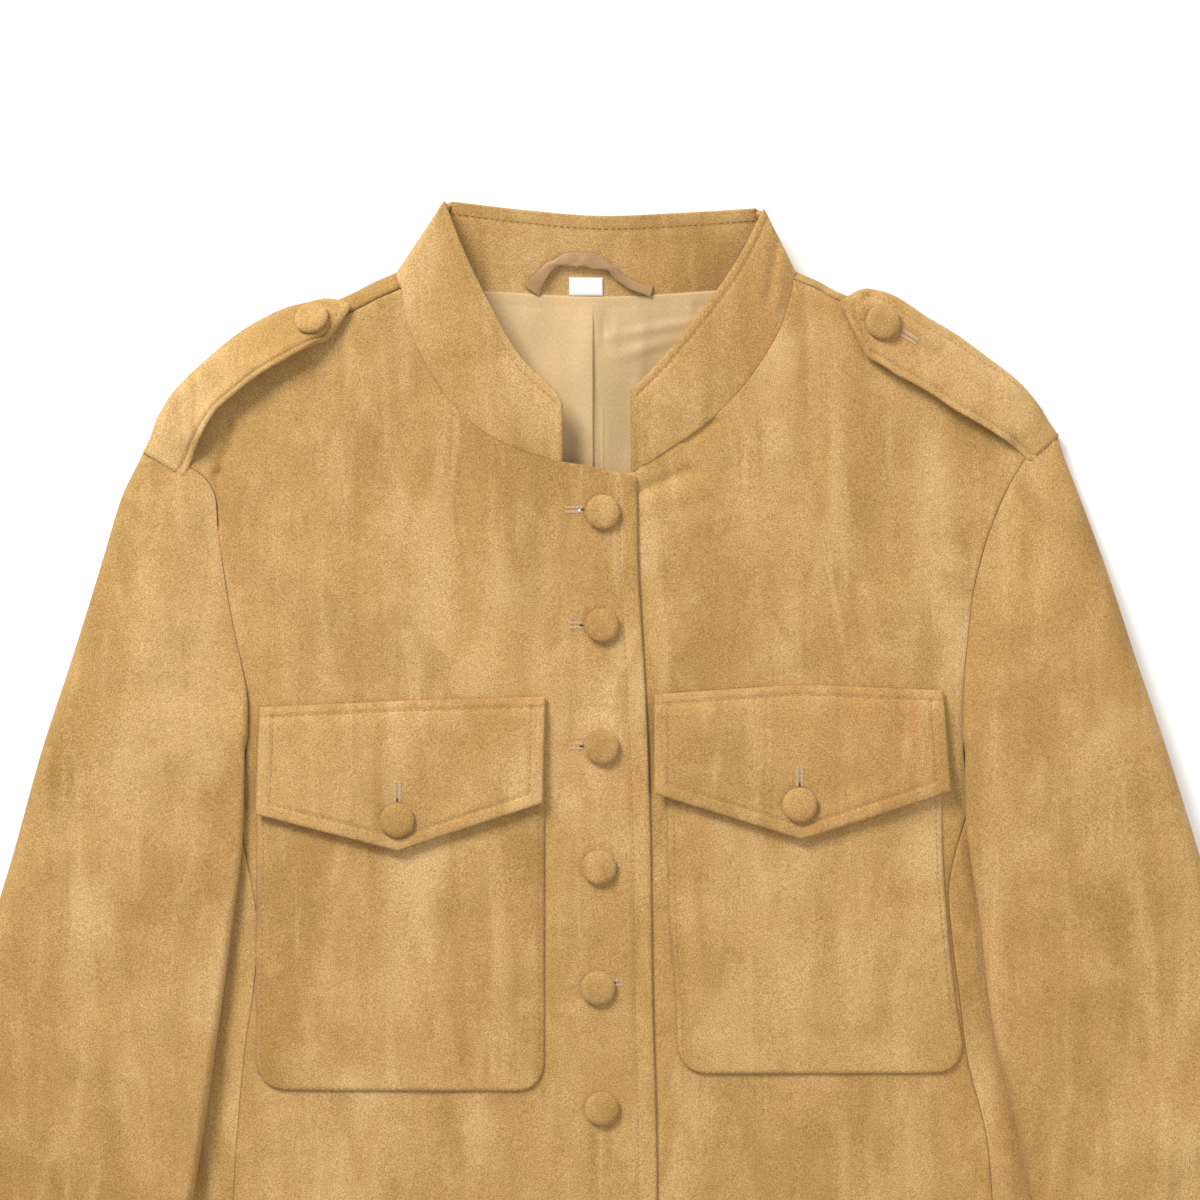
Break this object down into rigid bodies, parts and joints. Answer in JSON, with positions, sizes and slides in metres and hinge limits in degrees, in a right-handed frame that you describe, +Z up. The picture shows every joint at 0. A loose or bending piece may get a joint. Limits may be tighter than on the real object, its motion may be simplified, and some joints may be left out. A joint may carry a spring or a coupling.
{
  "type": "suede jacket",
  "caption": "Band-collar suede jacket laid flat, with a covered-button front, flap patch pockets, buttoned shoulder straps and a satin neck lining.",
  "frame": {"origin": "centre of the bounding box in X and Y, on the surface the jacket lies on", "axes": "+X to the viewer's right across the jacket, +Y towards the collar, +Z up from the surface"},
  "size_m": [0.754, 0.7044, 0.0266],
  "materials": {
    "suede": "brushed sand-coloured suede, matt nap",
    "button_cover": "suede stretched over a domed button",
    "satin": "light gold satin, soft sheen",
    "label_cloth": "bare white woven label"
  },
  "bodies": {
    "root": {"back_panel": "suede", "front_left": "suede", "front_right": "suede", "side_left": "suede", "side_right": "suede", "sleeve_left_top": "suede", "sleeve_left_under": "suede", "sleeve_right_top": "suede", "sleeve_right_under": "suede", "collar": "suede", "lining_back": "satin", "label": "label_cloth", "hanger_loop": "satin", "pocket_left": "suede", "pocket_right": "suede", "flap_left": "suede", "flap_right": "suede", "epaulette_left": "suede", "epaulette_right": "suede", "front_button_1": "button_cover", "front_button_2": "button_cover", "front_button_3": "button_cover", "front_button_4": "button_cover", "front_button_5": "button_cover", "front_button_6": "button_cover", "front_button_7": "button_cover", "front_button_8": "button_cover", "flap_button_left": "button_cover", "flap_button_right": "button_cover", "epaulette_button_left": "button_cover", "epaulette_button_right": "button_cover"}
  },
  "joints": []
}
